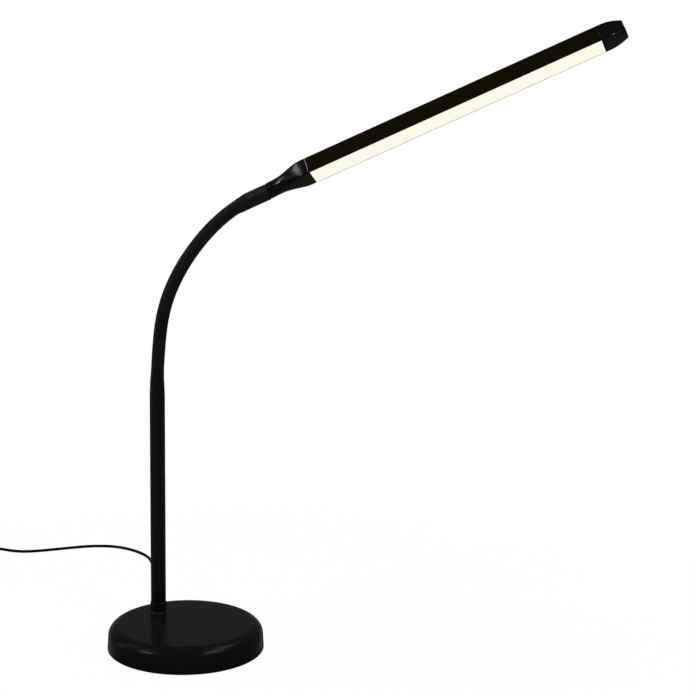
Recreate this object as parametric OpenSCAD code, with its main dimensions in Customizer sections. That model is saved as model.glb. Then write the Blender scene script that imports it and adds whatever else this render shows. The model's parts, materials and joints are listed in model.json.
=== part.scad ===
// Gooseneck desk lamp: a weighted disc base, a straight stem set towards the
// back of the disc, a flexible neck of ball-ended links under a rubber skin,
// and a long light bar with a glowing underside.
// Millimetres, +Z up. The origin is the middle of the foot pad, on the table.
// The neck bends in the XZ plane, towards +X.

/* [Base] */
// Diameter of the base at its foot
base_d = 150; // [130:1:180]
// Height of the base above the table
base_h = 24.1; // [22:0.1:32]
// Radius of the rounded upper edge
base_edge_r = 11; // [6:0.5:13]
// How much the side leans in, from foot to edge
base_lean = 0.7; // [0:0.1:2]
// Wall of the pressed cover
cover_wall = 1.8; // [1.2:0.1:2.4]
// Bevel under the cover's side
cover_bevel = 0.5; // [0.3:0.1:1.2]
// Thickness of the foot pad
pad_t = 1.6; // [1:0.1:2.2]
// Thickness of the bottom plate
plate_t = 2.4; // [2:0.1:3]
// Thickness of the cast weight
weight_t = 12; // [10:0.5:13]
// Diameter of the weight's boss under the stem
boss_d = 34; // [30:1:40]
// Distance from the middle of the base to the stem
stem_offset = 39.8; // [30:0.5:44]
// Turn of the neck's plane from the line that joins stem and base middle
neck_turn = 38; // [0:1:60]
// Height of the cord's way out
exit_z = 8.4; // [8:0.1:10]

/* [Screws] */
// Number of screws in the bottom plate
plate_screws_n = 3; // [3:1:3]
// Distance of those screws from the middle
plate_screw_r = 46; // [40:1:52]
// Thread diameter of those screws
plate_screw_d = 4; // [3:0.5:5]
// Length of those screws
plate_screw_len = 10; // [8:0.5:12]
// Thread diameter of the set screw in the head
set_screw_d = 3; // [2.5:0.5:4]

/* [Stem] */
// Outside diameter of the stem
stem_d = 14.6; // [13.4:0.1:18]
// Wall of the stem
stem_wall = 1.2; // [0.8:0.1:1.6]
// Height of the stem's upper end above the table
stem_top = 242; // [150:1:320]
// Outside diameter of the collar at the stem's foot
collar_d = 15.6; // [15:0.1:20]
// Height of that collar
collar_h = 11.5; // [6:0.5:20]
// Thread diameter at the stem's foot
thread_d = 9.8; // [9:0.1:10]
// Bore of the threaded foot
thread_bore = 7.2; // [6.6:0.1:7.4]
// How far the threaded foot and the ferrule reach into the stem
spigot_len = 18; // [12:1:30]
// Width across the flats of the nut
nut_af = 14; // [13:0.5:16]
// Thickness of the nut
nut_t = 3.4; // [3:0.1:4]
// Diameter of the washer
washer_d = 20; // [18:0.5:22]
// Thickness of the washer
washer_t = 1.2; // [1:0.1:1.4]

/* [Neck] */
// Diameter of the neck
neck_d = 12.5; // [11.6:0.1:13.2]
// Distance between two bending points
link_len = 19.8; // [18:0.1:24]
// Wall of the rubber skin
skin_wall = 0.5; // [0.3:0.1:0.8]
// Gap between a ball and the cup it sits in
ball_gap = 0.3; // [0.2:0.05:0.4]
// Bore through the links
link_bore = 4.4; // [4:0.1:4.8]
// Depth of the grooves of the wound hose
groove_depth = 0.5; // [0.2:0.1:0.8]
// Distance between those grooves
groove_pitch = 2.3; // [1.8:0.1:3]
// Length of the tapered ferrule above the stem
taper_len = 30; // [20:1:40]
// Diameter of that ferrule at its upper end
taper_d = 12.1; // [11.4:0.1:12.5]
// Lean of that ferrule's upper half, towards the neck's bend
taper_lean = 2.5; // [0:0.1:4]

/* [Head] */
// Diameter of the ferrule that carries the head
head_ferrule_d = 15.2; // [14:0.1:16.4]
// Distance from the last bending point to the adaptor
head_ferrule_len = 29; // [24:1:40]
// Length of the adaptor between ferrule and light bar
adaptor_len = 44.4; // [38:0.2:60]
// Length of the light bar
bar_len = 288.4; // [200:0.2:400]
// Width of the light bar
bar_w = 21.8; // [20:0.1:28]
// Height of the light bar
bar_h = 16.7; // [15:0.1:20]
// Wall of the light bar
bar_wall = 1.1; // [0.9:0.1:1.6]
// Radius of the bar's long edges
bar_edge_r = 1.3; // [0.6:0.1:2]
// Length of the end cap
cap_len = 24; // [16:0.2:34]
// How far the end cap draws in at its tip
cap_draw = 3.6; // [2:0.1:5]
// How far the middle of the bar lies above the ferrule's middle
head_rise = 2.2; // [1.8:0.1:3]
// Turn of the head about its own length
head_roll = 37.2; // [0:1:60]
// Thickness of the diffuser
diffuser_t = 1.6; // [1.2:0.1:2]
// Number of light diodes
led_n = 24; // [8:1:40]

/* [Cord] */
// Diameter of the cord
cord_d = 3.2; // [2.6:0.1:3.4]
// Width of the coil at the middle of its turns
coil_d = 35; // [32:1:38]
// Turns beside each other in the coil, and on each other
coil_rows = 3; // [2:1:4]
// Length of the switch on the cord
switch_len = 58; // [50:1:66]
// Width of that switch
switch_w = 20; // [18:0.5:24]
// Height of that switch
switch_h = 15; // [14:0.5:18]
// Width of the rocker
rocker_w = 9.4; // [8:0.2:10]
// Length of the rocker
rocker_len = 15; // [13:0.5:17]

/* [Hidden] */
$fn = 64;
slip = 0.05;      // clearance of a pushed fit, on the radius
loose = 0.3;      // clearance of pieces that only lie beside each other
sliver = 0.01;    // overrun of a cut through a face

// base
base_r = base_d / 2;
plate_z = pad_t;
weight_z = plate_z + plate_t;
weight_top = weight_z + weight_t;
cover_top = base_h - cover_wall;
inner_r = base_r - base_lean - cover_wall;
plate_r = inner_r - loose;
weight_r = inner_r - 1.2;
pad_r = base_r - 4;
stem_dir = 180 - neck_turn;
stem_x = stem_offset * cos(stem_dir);
stem_y = stem_offset * sin(stem_dir);
cover_lift = 0.4;           // the cover's side ends this far above the table
channel_w = cord_d + 4.8;
nut_room_d = max(washer_d, nut_af / cos(30)) + 3;
nut_room_top = weight_top - 1;
pocket_at = 42;             // the weight's lightening pockets, from the middle
pocket_r = 14;
pocket_roof = 4;
screw_head_h = plate_screw_d / 2 - 0.1;
screw_slot_w = 0.8;
screw_slot_t = 1.2;
grommet_wall = 1.2;
grommet_lip = 1.1;          // how far its two lips reach over the cover

// stem
stem_r = stem_d / 2;
stem_bore = stem_r - stem_wall;
cord_r = cord_d / 2;
nut_z = nut_room_top - washer_t - nut_t;
thread_pitch = 1.5;
thread_depth = 0.4;
thread_end = nut_z - 0.3;

// neck: how far it is bent at each of its bending points, from the foot up
neck_bends = [1.8, 2.2, 7, 8, 6.5, 6, 5, 6.5, 7.5, 11.5];
link_n = len(neck_bends) - 1;
ball_r = neck_d / 2;
cup_r = ball_r + ball_gap;
rim_drop = 2.2;               // from a bending point down to the cup's rim
mouth_angle = 30;             // half angle of the open mouth of a ball
skin_low = 0.8;               // the skin's lower end, above the bending point
skin_high = link_len - 4.6;   // its upper end
waist_r = ball_r - skin_wall;
wire_gap = 0.5;               // from a bending point to the end of a wire
taper_r = taper_d / 2;
taper_rim = sqrt(cup_r * cup_r - taper_r * taper_r) + 0.2;
taper_mid_z = stem_top + taper_len / 2;     // where the taper starts to lean
taper_mid_r = (stem_r + taper_r) / 2;
first_joint_up = taper_len / 2 + taper_rim; // from there to the first bending point

function bent(k) = k < 0 ? taper_lean : neck_bends[k] + bent(k - 1);
function joint_at(k) = k == 0
    ? [stem_x, stem_y, taper_mid_z] + first_joint_up * [sin(taper_lean), 0, cos(taper_lean)]
    : joint_at(k - 1) + link_len * [sin(bent(k - 1)), 0, cos(bent(k - 1))];

// head, along its own axis from the last bending point
adaptor_at = head_ferrule_len;
bar_at = adaptor_at + adaptor_len;
cap_at = bar_at + bar_len;
bar_top = -head_rise - bar_h / 2;
bar_under = -head_rise + bar_h / 2;
bar_bore_w = bar_w - 2 * bar_wall;
board_t = 1;
board_w = 12;
board_face = -cord_r;                 // the cord lies on the board
web_t = 1.2;
web_under = board_face - board_t;
duct_top = bar_top + bar_wall;
duct_h = web_under - web_t - duct_top;
ledge = 0.9;
diffuser_sunk = 0.2;
diffuser_in = bar_under - diffuser_sunk - diffuser_t;
head_spigot_d = 10;
head_spigot_len = 16;
board_inset = 6;
tongue_len = 12;

// cord: the run from the base to the switch, then from the switch to the coil
switch_at = [-292, 254];
switch_mid_z = switch_h / 2;
coil_edge_r = 2.4;
tie_t = 0.6;
tie_w = 7;
coil_at = [-368, switch_at[1] - coil_d / 2];
coil_bundle = coil_rows * cord_d + 0.2;
coil_z = tie_t + loose + coil_bundle / 2;
lay_z = coil_z - coil_bundle / 2 + cord_r;
grommet_nose = 9;
exit_r = base_r + grommet_nose;
// points of the run on the table: X, Y and how far it is lifted
run_route = [
    [-71.5, 55.5, 5.2], [-72.3, 59.5, 3.4], [-71.2, 64, 1.9], [-68.6, 68.5, 0.9],
    [-65, 73, 0.3], [-60.5, 78, 0.1], [-56, 84, 0.1], [-52.5, 91, 0.1],
    [-50.2, 99, 0.1], [-49.5, 108, 0.1], [-50.3, 118, 0.1], [-52.6, 130, 0.1],
    [-56.2, 145, 0.1], [-60.5, 162, 0.1], [-65, 180, 0.1], [-69.5, 198, 0.1],
    [-74, 217, 0.1], [-78.5, 234, 0.1], [-83, 249, 0.1], [-89, 261.5, 0.1],
    [-97, 271.5, 0.1], [-107, 280.5, 0.1], [-119, 288, 0.1], [-132, 293, 0.1],
    [-146, 293.5, 0.1], [-162, 290.5, 0.1], [-179, 283, 0.1], [-197, 274, 0.1],
    [-216, 265, 0.1], [-232, 259, 0.6], [-247, 255.5, 3]];
plug_at = [-342, coil_at[1] - coil_d / 2];
grip_len = 24;
grip_w = 15.6;
grip_h = 8;
relief_len = 10;
shell_len = 18.8;
shell_w = 12;
shell_h = 4.5;

// ---------- places ----------

module at_stem() {
    translate([stem_x, stem_y, 0]) children();
}

module at_exit() {
    rotate([0, 0, stem_dir]) translate([0, 0, exit_z]) children();
}

module on_link(k) {
    translate(joint_at(k)) rotate([0, bent(k), 0]) children();
}

// X is the light's direction, -Y the front face, Z runs along the head
module on_head() {
    on_link(link_n) rotate([0, 0, -head_roll]) children();
}

module at_switch() {
    translate([switch_at[0], switch_at[1], 0]) children();
}

// ---------- shapes used more than once ----------

module tube(r_out, r_in, h) {
    difference() {
        cylinder(r = r_out, h = h);
        translate([0, 0, -sliver]) cylinder(r = r_in, h = h + 2 * sliver);
    }
}

// a rectangle with round corners, its middle at the origin
module round_rect(w, h, r) {
    square([w - 2 * r, h], center = true);
    square([w, h - 2 * r], center = true);
    for (sx = [-1, 1]) for (sy = [-1, 1])
        translate([sx * (w / 2 - r), sy * (h / 2 - r)]) circle(r = r);
}

// one cross section of a loft: half sizes, corner radius, middle and height
corner_steps = 7;
function section(hx, hy, r, mid_x, z) = [
    for (c = [0:3]) for (i = [0:corner_steps])
        let (a = c * 90 + i * 90 / corner_steps,
             sx = (c == 0 || c == 3) ? 1 : -1,
             sy = c < 2 ? 1 : -1)
        [mid_x + sx * (hx - r) + r * cos(a), sy * (hy - r) + r * sin(a), z]];

function flat(rows) = [for (row = rows) each row];

// skin between rows of points with as many points each, closed at both ends
module loft(rows) {
    n = len(rows[0]);
    last = len(rows) - 1;
    polyhedron(flat(rows), concat(
        [[for (i = [0:n - 1]) i]],
        [for (j = [0:last - 1]) for (i = [0:n - 1])
            let (a = j * n + i, b = j * n + (i + 1) % n)
            each [[a, b + n, b], [a, a + n, b + n]]],
        [[for (i = [n - 1:-1:0]) last * n + i]]), convexity = 6);
}

// a round cord swept along a route
function unit(v) = v / norm(v);
function way(p, i) = unit(p[min(i + 1, len(p) - 1)] - p[max(i - 1, 0)]);
cord_sides = 8;
module swept(p, r) {
    loft([for (i = [0:len(p) - 1])
        let (w = way(p, i),
             side = abs(w[2]) > 0.9 ? unit(cross(w, [1, 0, 0])) : unit(cross([0, 0, 1], w)),
             up = cross(w, side))
        [for (k = [0:cord_sides - 1]) let (a = (k + 0.5) * 360 / cord_sides)
            p[i] + r * (cos(a) * side + sin(a) * up)]]);
}

// ---------- base ----------

// half profile of the pressed cover, drawn in by a wall
module cover_profile(wall) {
    r_foot = base_r - wall;
    r_side = base_r - base_lean - wall;
    edge = base_edge_r - wall;
    top = base_h - wall;
    polygon([[0, 0], [r_foot - cover_bevel, 0], [r_foot, cover_bevel],
             [r_side, top - edge], [0, top - edge]]);
    square([r_side - edge, top]);
    translate([r_side - edge, top - edge])
        intersection() { circle(r = edge); square(edge); }
}

module base_cover() color("#15161a") {
    difference() {
        rotate_extrude($fn = 128) difference() {
            cover_profile(0);
            cover_profile(cover_wall);
            translate([0, -sliver]) square([base_r, cover_lift + sliver]);
        }
        at_stem() translate([0, 0, cover_top - 1])
            cylinder(r = thread_d / 2 + slip, h = cover_wall + 2);
        at_exit() translate([inner_r - 3, 0, 0])
            rotate([0, 90, 0]) cylinder(r = cord_r + grommet_wall, h = cover_wall + 6);
    }
}

module base_weight() color("#3c3d40") {
    at_top = weight_top - sliver;
    difference() {
        union() {
            translate([0, 0, weight_z]) cylinder(r = weight_r, h = weight_t, $fn = 128);
            at_stem() translate([0, 0, at_top]) cylinder(r = boss_d / 2, h = cover_top - at_top);
        }
        at_stem() {
            translate([0, 0, weight_z]) cylinder(r = thread_d / 2 + slip, h = base_h);
            translate([0, 0, weight_z - sliver])
                cylinder(r = nut_room_d / 2, h = nut_room_top - weight_z + sliver);
        }
        // channel for the cord, from the nut's room out to the rim
        at_exit() translate([stem_offset, -channel_w / 2, weight_z - exit_z - sliver])
            cube([base_r - stem_offset, channel_w, exit_z - weight_z + channel_w / 2]);
        plate_holes(plate_screw_d / 2 + slip, plate_screw_len + 1);
        // lightening pockets
        for (a = [90, -90]) rotate([0, 0, stem_dir + a]) translate([pocket_at, 0, weight_z - sliver])
            cylinder(r = pocket_r, h = weight_t - pocket_roof);
    }
}

module plate_holes(r, depth) {
    for (i = [0:plate_screws_n - 1])
        rotate([0, 0, stem_dir + (i + 0.5) * 360 / plate_screws_n])
            translate([plate_screw_r, 0, plate_z - sliver]) cylinder(r = r, h = depth);
}

module base_plate() color("#1b1c1e") {
    difference() {
        translate([0, 0, plate_z]) cylinder(r = plate_r, h = plate_t, $fn = 128);
        plate_holes(plate_screw_d / 2 + 0.2, plate_t + 1);
        for (i = [0:plate_screws_n - 1])
            rotate([0, 0, stem_dir + (i + 0.5) * 360 / plate_screws_n])
                translate([plate_screw_r, 0, plate_z - sliver])
                    cylinder(r1 = plate_screw_d - 0.1, r2 = plate_screw_d / 2 + 0.1, h = screw_head_h + sliver);
    }
}

module plate_screws() color("#8b8d90") {
    for (i = [0:plate_screws_n - 1])
        rotate([0, 0, stem_dir + (i + 0.5) * 360 / plate_screws_n])
            translate([plate_screw_r, 0, plate_z]) difference() {
                union() {
                    cylinder(r1 = plate_screw_d - 0.2, r2 = plate_screw_d / 2, h = screw_head_h);
                    cylinder(r = plate_screw_d / 2, h = plate_screw_len);
                }
                for (t = [0, 90]) rotate([0, 0, t])
                    translate([-plate_screw_d / 2, -screw_slot_w / 2, -sliver])
                        cube([plate_screw_d, screw_slot_w, screw_slot_t]);
            }
}

module foot_pad() color("#222222") {
    cylinder(r = pad_r, h = pad_t, $fn = 128);
}

// ---------- stem ----------

module stem_collar() color("#17181a") {
    edge = 0.3;
    at_stem() translate([0, 0, base_h]) rotate_extrude()
        polygon([[stem_r + slip, 0], [collar_d / 2 - edge, 0], [collar_d / 2, edge],
            [collar_d / 2, collar_h - edge], [collar_d / 2 - edge, collar_h],
            [stem_r + slip, collar_h]]);
}

module stem_tube() color("#1a1b1d") {
    at_stem() translate([0, 0, base_h]) tube(stem_r, stem_bore, stem_top - base_h);
}

module stem_foot() color("#9a9a96") {
    at_stem() difference() {
        union() {
            translate([0, 0, thread_end]) cylinder(r = thread_d / 2, h = base_h + 1 - thread_end);
            translate([0, 0, base_h]) cylinder(r = stem_bore - slip, h = spigot_len);
        }
        translate([0, 0, thread_end - sliver])
            cylinder(r = thread_bore / 2, h = base_h + spigot_len);
        // thread, as grooves round the shank below the cover
        for (z = [thread_end + 0.6:thread_pitch:nut_room_top - thread_pitch / 2])
            translate([0, 0, z]) rotate_extrude()
                polygon([[thread_d / 2 - thread_depth, 0.35], [thread_d / 2 + 0.2, 0],
                    [thread_d / 2 + 0.2, 0.7]]);
    }
}

module stem_washer() color("#a8a8a4") {
    at_stem() translate([0, 0, nut_room_top - washer_t])
        tube(washer_d / 2, thread_d / 2 + 0.2, washer_t);
}

module stem_nut() color("#9c9d9f") {
    at_stem() translate([0, 0, nut_z]) difference() {
        intersection() {
            cylinder(r = nut_af / 2 / cos(30), h = nut_t, $fn = 6);
            cylinder(r1 = nut_af / 2 + 0.5, r2 = nut_af / 2 + 0.5 + nut_t, h = nut_t);
        }
        translate([0, 0, -sliver]) cylinder(r = thread_d / 2 + slip, h = nut_t + 2 * sliver);
    }
}

module cord_grommet() color("#1d1d1f") {
    hole_r = cord_r + grommet_wall;
    lip_r = hole_r + grommet_lip;
    lip_t = 1.5;
    at_exit() rotate([0, 90, 0]) rotate_extrude() polygon([
        [cord_r + slip, inner_r - loose - lip_t], [lip_r, inner_r - loose - lip_t], [lip_r, inner_r - loose],
        [hole_r - slip, inner_r - loose], [hole_r - slip, base_r + 0.1], [lip_r + 0.2, base_r + 0.1],
        [lip_r + 0.2, base_r + 1.2], [hole_r + 0.5, base_r + 2.2], [cord_r + 0.7, exit_r],
        [cord_r + slip, exit_r]]);
}

// the same cord inside: through the grommet, under the threaded foot, up the stem
module stem_lead() color("#1d1d1f") {
    turn_z = thread_end - 3.3;
    low = weight_z + cord_r + 0.1;
    along = function (e, z) [e * cos(stem_dir), e * sin(stem_dir), z];
    lean_way = [sin(taper_lean), 0, cos(taper_lean)];
    in_r = stem_offset + nut_room_d / 2;
    swept([along(exit_r, exit_z), along(base_r, exit_z), along(inner_r - 4, exit_z),
        along((in_r + inner_r) / 2, (exit_z + low) / 2), along(in_r, low),
        along(stem_offset + 8, low), along(stem_offset + 5.4, low + 0.6),
        along(stem_offset + 2.9, turn_z + 0.6), along(stem_offset + 1.1, turn_z + 3.2),
        along(stem_offset + 0.2, turn_z + 6.4), along(stem_offset, turn_z + 10),
        along(stem_offset, base_h + spigot_len + 20), along(stem_offset, taper_mid_z - 6),
        joint_at(0) - (wire_gap + 6) * lean_way, joint_at(0) - wire_gap * lean_way], cord_r);
}

// ---------- neck ----------

module at_lean() {
    at_stem() translate([0, 0, taper_mid_z]) rotate([0, taper_lean, 0]) children();
}

// the lower end of the neck: a spigot in the stem, a taper that leans, and a cup
module neck_ferrule() color("#1a1a1b") {
    half = taper_len / 2;
    sunk = taper_mid_r * sin(taper_lean) + 0.3;   // how deep the leaning half starts inside the other
    difference() {
        union() {
            at_stem() translate([0, 0, stem_top - spigot_len])
                cylinder(r = stem_bore - slip, h = spigot_len + 1);
            at_stem() translate([0, 0, stem_top]) cylinder(r1 = stem_r, r2 = taper_mid_r, h = half);
            at_lean() translate([0, 0, -sunk])
                cylinder(r1 = taper_mid_r - 0.04, r2 = taper_r, h = half + sunk);
        }
        at_stem() translate([0, 0, stem_top - spigot_len - sliver])
            cylinder(r = link_bore / 2 + 0.3, h = spigot_len + half + sliver);
        at_lean() translate([0, 0, -1]) cylinder(r = link_bore / 2, h = first_joint_up + 1);
        at_lean() translate([0, 0, first_joint_up]) sphere(r = cup_r);
    }
}

// one rigid length of the wound hose, with a ball below and a cup above
module neck_link(k) color("#2a2b2e") {
    on_link(k) difference() {
        union() {
            intersection() {
                sphere(r = ball_r);
                translate([0, 0, -ball_r]) cylinder(r = ball_r + 1, h = ball_r + skin_low);
            }
            cylinder(r = ball_r, h = skin_low);
            cylinder(r = waist_r, h = link_len - rim_drop);
            translate([0, 0, skin_high]) cylinder(r = ball_r, h = link_len - rim_drop - skin_high);
        }
        translate([0, 0, -ball_r]) cylinder(r = link_bore / 2, h = link_len + ball_r);
        translate([0, 0, -ball_r])
            cylinder(r1 = link_bore / 2 + ball_r * tan(mouth_angle), r2 = link_bore / 2, h = ball_r);
        translate([0, 0, link_len]) sphere(r = cup_r);
        for (z = [skin_low + 1.6:groove_pitch:skin_high - 1.6])
            translate([0, 0, z]) rotate_extrude() polygon([
                [waist_r - groove_depth, 0], [waist_r + 0.2, -0.7], [waist_r + 0.2, 0.7]]);
    }
}

module neck_skin(k) color("#17181a") {
    on_link(k) translate([0, 0, skin_low]) tube(ball_r, waist_r, skin_high - skin_low);
}

module neck_lead(k) color("#1d1d1f") {
    on_link(k) translate([0, 0, wire_gap]) cylinder(r = cord_r, h = link_len - 2 * wire_gap);
}

// ---------- head ----------

module head_ferrule() color("#1c1d1f") {
    flare = head_ferrule_d / 2;
    on_head() difference() {
        union() {
            sphere(r = ball_r);
            rotate_extrude() polygon([[0, 0], [ball_r, 0], [ball_r, 1], [ball_r + 0.4, 2.4],
                [flare - 0.25, 6.5], [flare, 9.5], [flare, head_ferrule_len - 0.6],
                [flare - 0.4, head_ferrule_len], [0, head_ferrule_len]]);
            translate([0, 0, head_ferrule_len - 1])
                cylinder(d = head_spigot_d, h = head_spigot_len + 1);
        }
        translate([0, 0, -ball_r])
            cylinder(r = link_bore / 2, h = ball_r + head_ferrule_len + head_spigot_len + 1);
        translate([0, 0, -ball_r])
            cylinder(r1 = link_bore / 2 + ball_r * tan(mouth_angle), r2 = link_bore / 2, h = ball_r);
    }
}

function ease(u) = let (v = min(1, max(0, u))) v * v * (3 - 2 * v);
function mix(a, b, u) = a + (b - a) * u;

// round where it meets the ferrule, then it swells into the section of the bar
module head_adaptor() color("#141516") {
    r0 = head_ferrule_d / 2 + 0.15;
    steps = 14;
    swell_from = 0.24;
    swell_to = 0.84;
    rise_to = 0.6;
    rows = [for (i = [0:steps])
        let (u = i / steps, s = ease((u - swell_from) / (swell_to - swell_from)))
        section(mix(r0, bar_h / 2, s), mix(r0, bar_w / 2, s), mix(r0 * 0.97, bar_edge_r, s),
                -head_rise * ease(u / rise_to), adaptor_at + u * adaptor_len)];
    on_head() difference() {
        union() {
            loft(rows);
            translate([duct_top + slip, -bar_bore_w / 2 + slip, bar_at - sliver])
                cube([duct_h - 2 * slip, bar_bore_w - 2 * slip, tongue_len]);
        }
        translate([0, 0, adaptor_at - sliver])
            cylinder(d = head_spigot_d + 2 * slip, h = head_spigot_len + 0.5);
        translate([0, 0, adaptor_at]) cylinder(r = cord_r + 0.3, h = adaptor_len + 1);
        translate([0, head_spigot_d / 2 - 1, adaptor_at + head_spigot_len / 2])
            rotate([-90, 0, 0]) cylinder(d = set_screw_d + 2 * slip, h = r0);
    }
}

module adaptor_screw() color("#6d6e70") {
    on_head() translate([0, head_spigot_d / 2, adaptor_at + head_spigot_len / 2])
        rotate([-90, 0, 0]) difference() {
            cylinder(d = set_screw_d, h = head_ferrule_d / 2 - head_spigot_d / 2);
            translate([0, 0, head_ferrule_d / 2 - head_spigot_d / 2 - 1.2])
                cylinder(r = set_screw_d / 3.4, h = 2, $fn = 6);
        }
}

// profile of the bar: X towards the light, Y across
module channel_profile() {
    difference() {
        translate([-head_rise, 0]) round_rect(bar_h, bar_w, bar_edge_r);
        // the duct above the web, and the light's chamber below it
        translate([duct_top, -bar_bore_w / 2]) square([duct_h, bar_bore_w]);
        translate([web_under, -bar_bore_w / 2]) square([bar_under - web_under + 1, bar_bore_w]);
    }
    for (s = [-1, 1]) translate([diffuser_in - ledge, s > 0 ? bar_bore_w / 2 - ledge : -bar_bore_w / 2])
        square([ledge, ledge]);
}

module light_channel() color("#1b1a17") {
    on_head() translate([0, 0, bar_at]) linear_extrude(bar_len) channel_profile();
}

module diffuser() color("#fff4dc") {
    edge = bar_bore_w / 2 - slip;
    leg_t = 1;
    leg_h = 1.6;
    on_head() translate([0, 0, bar_at + slip]) linear_extrude(bar_len - 2 * slip) {
        translate([diffuser_in, -edge]) square([diffuser_t, 2 * edge]);
        for (s = [-1, 1]) translate([diffuser_in - leg_h, s > 0 ? edge - ledge - leg_t - slip : -edge + ledge + slip])
            square([leg_h + sliver, leg_t]);
    }
}

board_at = bar_at + board_inset;
board_len = bar_len - 2 * board_inset;
module led_board() color("#e8e8e2") {
    on_head() translate([web_under, -board_w / 2, board_at]) cube([board_t, board_w, board_len]);
}

module leds() color("#ffe9a8") {
    first = 14;
    led_w = 2.8;
    led_l = 3.5;
    pitch = (board_len - 2 * first) / (led_n - 1);
    on_head() for (i = [0:led_n - 1])
        translate([board_face, -led_w / 2, board_at + first + i * pitch - led_l / 2])
            cube([0.8, led_w, led_l]);
}

module end_cap() color("#141516") {
    steps = 10;
    rows = [for (i = [0:steps])
        let (u = sin(i * 90 / steps), draw = cap_draw * (1 - sqrt(1 - u * u)))
        section(bar_h / 2 - draw, bar_w / 2 - draw, bar_edge_r + 0.8 * draw, -head_rise,
                cap_at + u * cap_len)];
    on_head() {
        loft(rows);
        translate([duct_top + slip, -bar_bore_w / 2 + slip, cap_at - tongue_len * 0.7])
            cube([duct_h - 2 * slip, bar_bore_w - 2 * slip, tongue_len * 0.7 + sliver]);
    }
}

module head_lead() color("#1d1d1f") {
    on_head() translate([0, 0, wire_gap]) cylinder(r = cord_r, h = board_at + 8 - wire_gap);
}

// ---------- cord, switch and plug ----------

function out_at(r) = [r * cos(stem_dir), r * sin(stem_dir), exit_z];
// the cord ends inside the switch, at its room
switch_in = [switch_at[0] + switch_len / 2, switch_at[1], switch_mid_z];
switch_out = [switch_at[0] - switch_len / 2, switch_at[1], switch_mid_z];
switch_hold = [10, 0, 0];

module cord_run() color("#1d1d1f") {
    swept(concat([out_at(exit_r), out_at(exit_r + 3)],
        [for (p = run_route) p + [0, 0, cord_r]],
        [switch_in, switch_in - switch_hold]), cord_r);
}

module cord_tail() color("#1d1d1f") {
    swept([switch_out + switch_hold, switch_out, switch_out + [-8, 0, -1.2],
        switch_out + [-20, 0, lay_z - switch_mid_z],
        [coil_at[0] + 16, switch_at[1], lay_z], [coil_at[0] + 4, switch_at[1] - 0.5, lay_z]], cord_r);
    swept([[coil_at[0] + 4, plug_at[1] + 0.4, lay_z], [plug_at[0] - 14, plug_at[1], lay_z + 0.1],
        [plug_at[0] - 7, plug_at[1], grip_h / 2 - 0.4], [plug_at[0] - 3, plug_at[1], grip_h / 2],
        [plug_at[0], plug_at[1], grip_h / 2]], cord_r);
}

module cord_coil() color("#1d1d1f") {
    translate([coil_at[0], coil_at[1], coil_z]) rotate_extrude()
        translate([coil_d / 2, 0]) round_rect(coil_bundle, coil_bundle, coil_edge_r);
}

module coil_tie() color("#101010") {
    room = coil_bundle + 2 * loose;
    turn = tie_w / (coil_d / 2) * 180 / PI;
    translate([coil_at[0], coil_at[1], coil_z]) rotate([0, 0, 180 - turn / 2])
        rotate_extrude(angle = turn) translate([coil_d / 2, 0]) difference() {
            round_rect(room + 2 * tie_t, room + 2 * tie_t, coil_edge_r + loose + tie_t);
            round_rect(room, room, coil_edge_r + loose);
        }
}

rocker_tilt = 8;
pivot_z = switch_h - 4;
window_len = rocker_len + 2 * loose;
window_w = rocker_w + 2 * loose;
trunnion_r = 1;
trunnion_len = 1.4;

// the whole outside of the switch
module switch_body() {
    intersection() {
        linear_extrude(switch_h) round_rect(switch_len, switch_w, 5);
        rotate([90, 0, 0]) linear_extrude(switch_w + 2, center = true)
            translate([0, switch_h / 2]) round_rect(switch_len, switch_h, 3);
        rotate([90, 0, 90]) linear_extrude(switch_len + 2, center = true)
            translate([0, switch_h / 2]) round_rect(switch_w, switch_h, 3.5);
    }
}

module switch_room() {
    translate([0, 0, switch_mid_z]) rotate([0, 90, 0])
        cylinder(r = cord_r + slip, h = switch_len + 2, center = true);
    translate([-window_len / 2, -window_w / 2, 2]) cube([window_len, window_w, switch_h]);
    translate([0, 0, pivot_z]) rotate([90, 0, 0])
        cylinder(r = trunnion_r + slip, h = window_w + 2 * trunnion_len + 2 * slip, center = true);
}

module switch_base() color("#17181a") {
    at_switch() difference() {
        intersection() {
            switch_body();
            translate([-switch_len, -switch_w, 0]) cube([2 * switch_len, 2 * switch_w, switch_mid_z]);
        }
        switch_room();
    }
}

module switch_cover() color("#1a1b1d") {
    at_switch() difference() {
        intersection() {
            switch_body();
            translate([-switch_len, -switch_w, switch_mid_z])
                cube([2 * switch_len, 2 * switch_w, switch_h]);
        }
        switch_room();
    }
}

module switch_rocker() color("#232427") {
    half = rocker_len / 2;
    crown = 3.1;
    at_switch() translate([0, 0, pivot_z]) rotate([90, 0, 0]) {
        linear_extrude(rocker_w, center = true) rotate(rocker_tilt) intersection() {
            circle(r = half);
            polygon([[0, crown], [half, crown + half * tan(rocker_tilt)], [half, -3],
                [-half, -3], [-half, crown + half * tan(rocker_tilt)]]);
        }
        cylinder(r = trunnion_r, h = window_w + 2 * trunnion_len, center = true);
    }
}

module plug_grip() color("#17181a") {
    translate([plug_at[0] + relief_len, plug_at[1], 0]) {
        intersection() {
            translate([grip_len / 2, 0, 0]) linear_extrude(grip_h) round_rect(grip_len, grip_w, 2.6);
            translate([-1, 0, grip_h / 2]) rotate([90, 0, 90])
                linear_extrude(grip_len + 2) round_rect(grip_w, grip_h, 2.4);
        }
        translate([-relief_len, 0, grip_h / 2]) rotate([0, 90, 0])
            cylinder(r1 = cord_r + 0.5, r2 = cord_r + 1.4, h = relief_len + 1);
    }
}

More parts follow.
